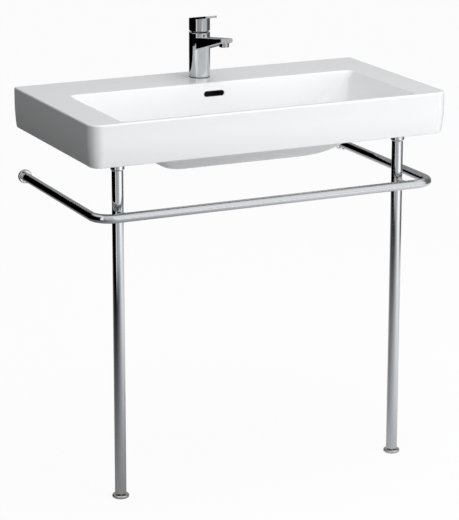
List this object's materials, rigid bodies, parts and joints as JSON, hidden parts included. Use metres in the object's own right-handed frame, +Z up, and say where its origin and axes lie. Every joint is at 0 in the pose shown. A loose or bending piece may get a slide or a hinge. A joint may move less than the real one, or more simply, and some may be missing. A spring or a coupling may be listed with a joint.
{
  "type": "console sink with legs",
  "caption": "White ceramic console basin with sloped rectangular bowl, front legs, wraparound towel rail and single-lever tap.",
  "frame": {"origin": "on the floor, midway between the basin's sides and midway between its front face and the wall", "axes": "+X to the right seen from the front, +Y to the wall, +Z up"},
  "size_m": [0.85, 0.46, 0.999],
  "materials": {
    "glaze": "white gloss glaze",
    "chrome": "polished chrome plate",
    "seal_rubber": "matt black",
    "steel": "plain stainless",
    "brass": "machined",
    "black_nylon": "moulded black",
    "white_acetal": "moulded white",
    "dark_plug": "gloss dark grey",
    "disc_ceramic": "lapped"
  },
  "bodies": {
    "console": {"basin": "glaze", "left_leg_tube": "chrome", "left_leg_collar": "chrome", "left_leg_gasket": "seal_rubber", "left_leg_plug": "black_nylon", "left_leg_insert": "brass", "left_rail_standoff": "chrome", "left_rail_screw": "steel", "left_wall_rosette": "chrome", "left_set_screw": "steel", "right_leg_tube": "chrome", "right_leg_collar": "chrome", "right_leg_gasket": "seal_rubber", "right_leg_plug": "black_nylon", "right_leg_insert": "brass", "right_rail_standoff": "chrome", "right_rail_screw": "steel", "right_wall_rosette": "chrome", "right_set_screw": "steel", "towel_rail": "chrome", "tap_body": "chrome", "index_plug": "dark_plug", "tap_gasket": "seal_rubber", "aerator_housing": "chrome", "aerator_insert": "white_acetal", "tap_stud": "brass", "horseshoe_gasket": "seal_rubber", "horseshoe_washer": "steel", "tap_nut": "brass", "cartridge_housing": "white_acetal", "fixed_disc": "disc_ceramic", "ring_nut": "brass", "dome": "chrome"},
    "left_foot": {"left_foot": "chrome", "left_foot_pad": "seal_rubber"},
    "right_foot": {"right_foot": "chrome", "right_foot_pad": "seal_rubber"},
    "cartridge_turret": {"stem_carrier": "black_nylon", "pivot_pin": "steel"},
    "lever": {"tap_handle": "chrome", "stem": "brass", "handle_screw": "steel"},
    "sliding_disc": {"moving_disc": "disc_ceramic"}
  },
  "joints": [
    {"name": "left_foot_travel", "type": "slide", "parent": "console", "child": "left_foot", "axis": [0, 0, -1], "range_m": [-0.0025, 0.01]},
    {"name": "right_foot_travel", "type": "slide", "parent": "console", "child": "right_foot", "axis": [0, 0, -1], "range_m": [-0.0025, 0.01]},
    {"name": "tap_swivel", "type": "hinge", "parent": "console", "child": "cartridge_turret", "pos_m": [0, 0.162, 0.946], "axis": [0, 0, 1], "range_deg": [-50, 50]},
    {"name": "tap_lift", "type": "hinge", "parent": "cartridge_turret", "child": "lever", "pos_m": [0, 0.162, 0.946], "axis": [-1, 0, 0], "range_deg": [0, 20]},
    {"name": "disc_slide", "type": "slide", "parent": "cartridge_turret", "child": "sliding_disc", "axis": [0, -1, 0], "range_m": [0, 0.00256]}
  ],
  "couplings": [
    {"joint": "disc_slide", "follows": "tap_lift", "m_per_rad": 0.00731}
  ]
}
